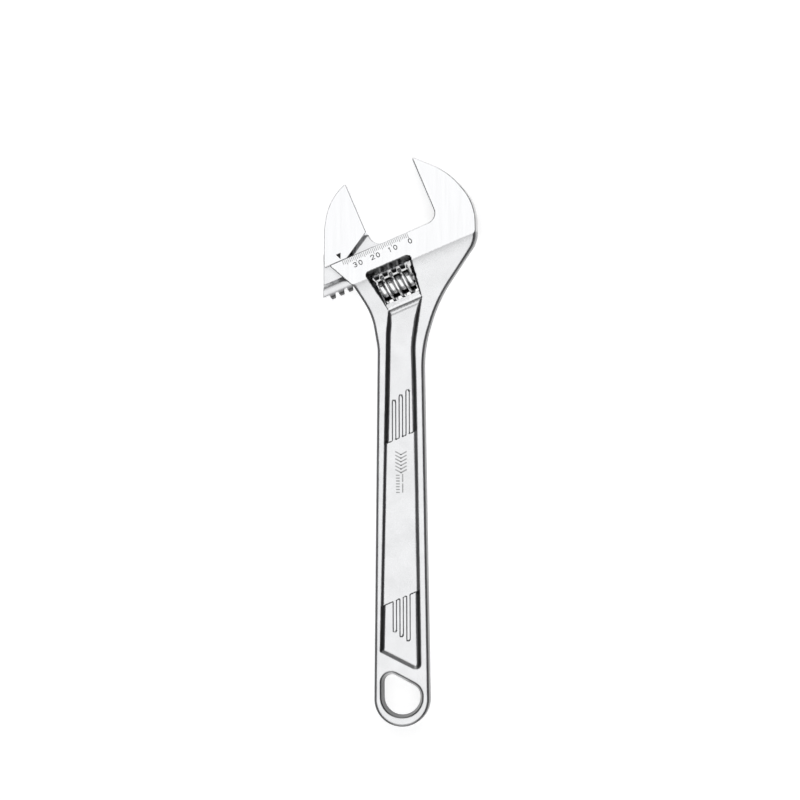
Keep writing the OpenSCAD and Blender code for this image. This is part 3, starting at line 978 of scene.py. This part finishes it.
def make_spring(material):
    """The coil spring that takes up the worm's end play, swept from rings of its wire."""
    sides, per_coil = 12, 40
    low = WORM_LEFT_U + WORM_L - POCKET_DEPTH + SPRING_GAP
    rise = SLOT_RIGHT_U - SPRING_GAP - low - WIRE_D
    rings = COILS * per_coil
    turn = np.linspace(0, 2 * math.pi * COILS, rings + 1)[:, None]
    round_wire = np.linspace(0, 2 * math.pi, sides, endpoint=False)[None, :]
    out, along = np.cos(round_wire), np.sin(round_wire)
    r = COIL_D / 2 + WIRE_D / 2 * out
    u = WIRE_D / 2 + rise * turn / turn[-1] + WIRE_D / 2 * along
    pairs = ((u, r), (along, out))
    rows = [np.broadcast_arrays(a, -b * np.sin(turn), -b * np.cos(turn)) for a, b in pairs]
    points, normals = (np.stack(arrays, axis=2).reshape(-1, 3) for arrays in rows)
    k = np.arange(rings * sides)
    after = k - k % sides + (k + 1) % sides
    faces = np.stack([k, after, after + sides, k + sides], axis=1).tolist()
    faces += [list(range(sides))[::-1], list(range(rings * sides, (rings + 1) * sides))]
    points, normals = head_to_frame(points, normals, np.array([low, -WORM_DROP, 0]))
    slot_body_node = ("spring_steel", "wrench_body", "worm_spring")
    build("coil_spring", points, np.array(faces, dtype=object), normals, material, *slot_body_node)


def strokes(name, lines, width, low_z, high_z, material, slot, body):
    """Thin raised strokes along lines of (x, y) points in the frame, as one piece."""
    points, faces = [], []
    for line in lines:
        for a, b in zip(line[:-1], line[1:]):
            a, b = np.array(a, dtype=float), np.array(b, dtype=float)
            along = (b - a) / np.linalg.norm(b - a) * width / 2
            across = np.array([-along[1], along[0]])
            ring = [a - along - across, b + along - across, b + along + across, a - along + across]
            first = len(points)
            points += [(*p, z) for z in (low_z, high_z) for p in ring]
            faces += [[first + i for i in f] for f in BOX_FACES]
    piece = build(name, np.array(points), np.array(faces), None, material, slot, body, None)
    piece.data.polygons.foreach_set("use_smooth", [False] * len(piece.data.polygons))
    return piece


BOX_FACES = [(3, 2, 1, 0), (4, 5, 6, 7), (0, 1, 5, 4), (1, 2, 6, 5), (2, 3, 7, 6), (3, 0, 4, 7)]

# Strokes of the scale's digits, each about its own middle
DIGITS = {
    "0": [(0.7 * math.sin(t), 1.15 * math.cos(t)) for t in np.linspace(0, 2 * math.pi, 15)],
    "1": [(-0.35, 0.75), (0, 1.15), (0, -1.15)],
    "2": [(-0.7, 0.6), (-0.5, 1.0), (0, 1.15), (0.5, 1.0), (0.7, 0.55), (0.45, 0), (-0.7, -1.15),
          (0.75, -1.15)],
    "3": [(-0.65, 0.9), (-0.2, 1.15), (0.35, 1.1), (0.65, 0.7), (0.5, 0.2), (0, 0.02), (0.5, -0.1),
          (0.72, -0.55), (0.4, -1.05), (-0.1, -1.18), (-0.65, -0.9)],
}


def make_scale(material, pointer_material):
    """Millimetre scale on the ledge, and the pointer on the movable jaw that reads on it."""
    zero_u = FIXED_FACE_U - ZERO_BACK
    top_v = LEDGE_V - MARK_GAP
    lines, digits = [], []
    for i in range(MARKS):
        length = TEN_L if i % 10 == 0 else FIVE_L if i % 5 == 0 else MARK_L
        lines.append([from_head(zero_u - i, top_v), from_head(zero_u - i, top_v - length)])
    for value in range(0, MARKS, 10):
        text = str(value)
        for i, digit in enumerate(text):
            at_u = zero_u - value + (i - (len(text) - 1) / 2) * DIGIT_PITCH
            at = [(at_u + DIGIT_WIDEN * x, DIGIT_V + y) for x, y in DIGITS[digit]]
            digits.append([from_head(*p) for p in at])
    low_z, high_z = BODY_HIGH[2] - SUNK, BODY_HIGH[2] + PROUD
    strokes("scale_marks", lines, MARK_W, low_z, high_z, material, *PLATED)
    strokes("scale_digits", digits, DIGIT_STROKE, low_z, high_z, material, *PLATED)

    tip_u = OPEN_FACE_U - ZERO_BACK
    corners = [from_head(tip_u + x, LEDGE_V + y) for x, y in POINTER]
    points = np.array([(*c, z) for z in (JAW_TOP_Z - SUNK, JAW_TOP_Z + PROUD) for c in corners])
    faces = np.array([(0, 2, 1), (3, 4, 5), (0, 1, 4, 3), (1, 2, 5, 4), (2, 0, 3, 5)], dtype=object)
    piece = build("opening_pointer", points, faces, None, pointer_material, *SLIDING, None)
    piece.data.polygons.foreach_set("use_smooth", [False] * len(piece.data.polygons))


def make_pad_mark(material):
    """A plain pattern of chevrons and dashes, raised on the handle's pad."""
    lines = []
    for row in range(CHEVRONS):
        y = CHEVRON_Y - CHEVRON_STEP * row
        lines.append(list(zip(CHEVRON_X, (y, y - CHEVRON_DROP, y))))
    lines += [[(STROKE_X, high), (STROKE_X, low)] for high, low in STROKES_Y]
    lines += [[(x, DASH_Y - DASH_STEP * i) for x in DASH_X] for i in range(DASHES)]
    top_z = MID_Z + HANDLE_T / 2 - PAD_DEPTH
    low_z, high_z = top_z - PATTERN_SUNK, top_z + PATTERN_PROUD
    strokes("pad_pattern", lines, PATTERN_STROKE, low_z, high_z, material, *PLATED)


# ---------------------------------------------------------------- studio

# The view: its width, the point it is aimed at, how far round to the right it is taken from, and
# its tilt
BODY_LENGTH = BODY_HIGH[1] - BODY_LOW[1]
VIEW_W = 1.4047 * BODY_LENGTH
VIEW_AT = (-0.2, BODY_LOW[1] + 0.5743 * BODY_LENGTH, 0.9 * HEAD_T)
VIEW_YAW = math.radians(5)
VIEW_LEAN = 0.004
CAMERA_AWAY = 2600.0
SENSOR_W = 36

FLOOR_AT = (0, 150, 0)
FLOOR_R = 6000
FLOOR_DROP = 0.2
FLOOR_GLOW = 0.66
# Radiance of the overhead softbox; the other panels have a share of it
RADIANCE = 1.04


def make_floor():
    """A big flat round of paper, in rings that widen outwards."""
    rings, spokes = 14, 72
    radii = np.linspace(0, 1, rings + 1)[1:] ** 2.0 * FLOOR_R
    points = [FLOOR_AT] + [
        (r * math.cos(t), FLOOR_AT[1] + r * math.sin(t), 0)
        for r in radii
        for t in np.linspace(0, 2 * math.pi, spokes, endpoint=False)
    ]
    faces = [(0, 1 + i, 1 + (i + 1) % spokes) for i in range(spokes)]
    for k in range(rings - 1):
        for i in range(spokes):
            a, b = 1 + k * spokes + i, 1 + k * spokes + (i + 1) % spokes
            faces.append((a, a + spokes, b + spokes, b))
    mesh = bpy.data.meshes.new("paper_floor")
    mesh.from_pydata([tuple(c * MM for c in p) for p in points], [], faces)
    mesh.materials.append(paper())
    floor = bpy.data.objects.new("paper_floor", mesh)
    floor.location.z = CAD_BOX[0][2] - FLOOR_DROP * MM
    bpy.context.collection.objects.link(floor)


def place(obj, at, back, up):
    """Puts a camera or light at a point, facing away from back."""
    z = Vector(back).normalized()
    x = Vector(up).cross(z).normalized()
    y = z.cross(x)
    obj.matrix_world = Matrix.Translation(Vector(at) * MM) @ Matrix((x, y, z)).transposed().to_4x4()


def make_camera():
    camera = bpy.data.objects.new("camera", bpy.data.cameras.new("camera"))
    camera.data.sensor_width = SENSOR_W
    camera.data.lens = SENSOR_W * CAMERA_AWAY / VIEW_W
    camera.data.clip_start, camera.data.clip_end = 0.05, 50
    back = Vector((math.sin(VIEW_YAW), 0, math.cos(VIEW_YAW)))
    bpy.context.collection.objects.link(camera)
    place(camera, Vector(VIEW_AT) + back * CAMERA_AWAY, back, (VIEW_LEAN, 1, 0))
    bpy.context.scene.camera = camera


def make_panel(name, at, size, share, aim=FLOOR_AT):
    """A soft panel with a share of the softbox's radiance, facing the object."""
    data = bpy.data.lights.new(name, "AREA")
    data.shape, data.size, data.size_y = "RECTANGLE", size[0] * MM, size[1] * MM
    data.energy = share * RADIANCE * math.pi * data.size * data.size_y
    light = bpy.data.objects.new(name, data)
    light.visible_camera = False
    bpy.context.collection.objects.link(light)
    overhead = at[0] == 0 and at[1] == aim[1]
    place(light, at, Vector(at) - Vector(aim), (0, 1, 0) if overhead else (0, 0, 1))


def make_studio():
    make_floor()
    make_camera()
    make_panel("overhead_softbox", (0, 900, 1700), (1700, 3700), 1, (0, 900, 0))
    make_panel("overhead_flag", (0, -1700, 1700), (1700, 1500), 0.35, (0, -1700, 0))
    make_panel("far_panel", (0, 3200, 800), (3000, 1500), 0.8)
    make_panel("near_panel", (0, -2900, 800), (3000, 1500), 0.5)
    make_panel("left_panel", (-2600, 150, 700), (2400, 700), 0.15)
    world = bpy.data.worlds.new("studio")
    world.use_nodes = True
    world.node_tree.nodes["Background"].inputs["Color"].default_value = (0.05, 0.05, 0.053, 1)
    bpy.context.scene.world = world
    bpy.context.scene.view_settings.view_transform = "Standard"
    bpy.context.scene.view_settings.look = "None"


PLATE = plated_metal()
make_body(PLATE)
make_jaw(PLATE)
make_worm(bright_steel("worm_chrome", 0.86, 0.94, 0.10, 0.18))
make_pin(bright_steel("pin_metal", 0.50, 0.62, 0.25, 0.40))
make_spring(bright_steel("spring_wire", 0.42, 0.55, 0.22, 0.35))
make_scale(engraving_ink("scale_ink", 0.20, 0.30), engraving_ink("pointer_ink", 0.01, 0.04))
# The pattern's darker steel is painted shade, added to the real shading along its raised strokes
make_pad_mark(bright_steel("pattern_metal", 0.34, 0.48, 0.30, 0.42))
make_studio()
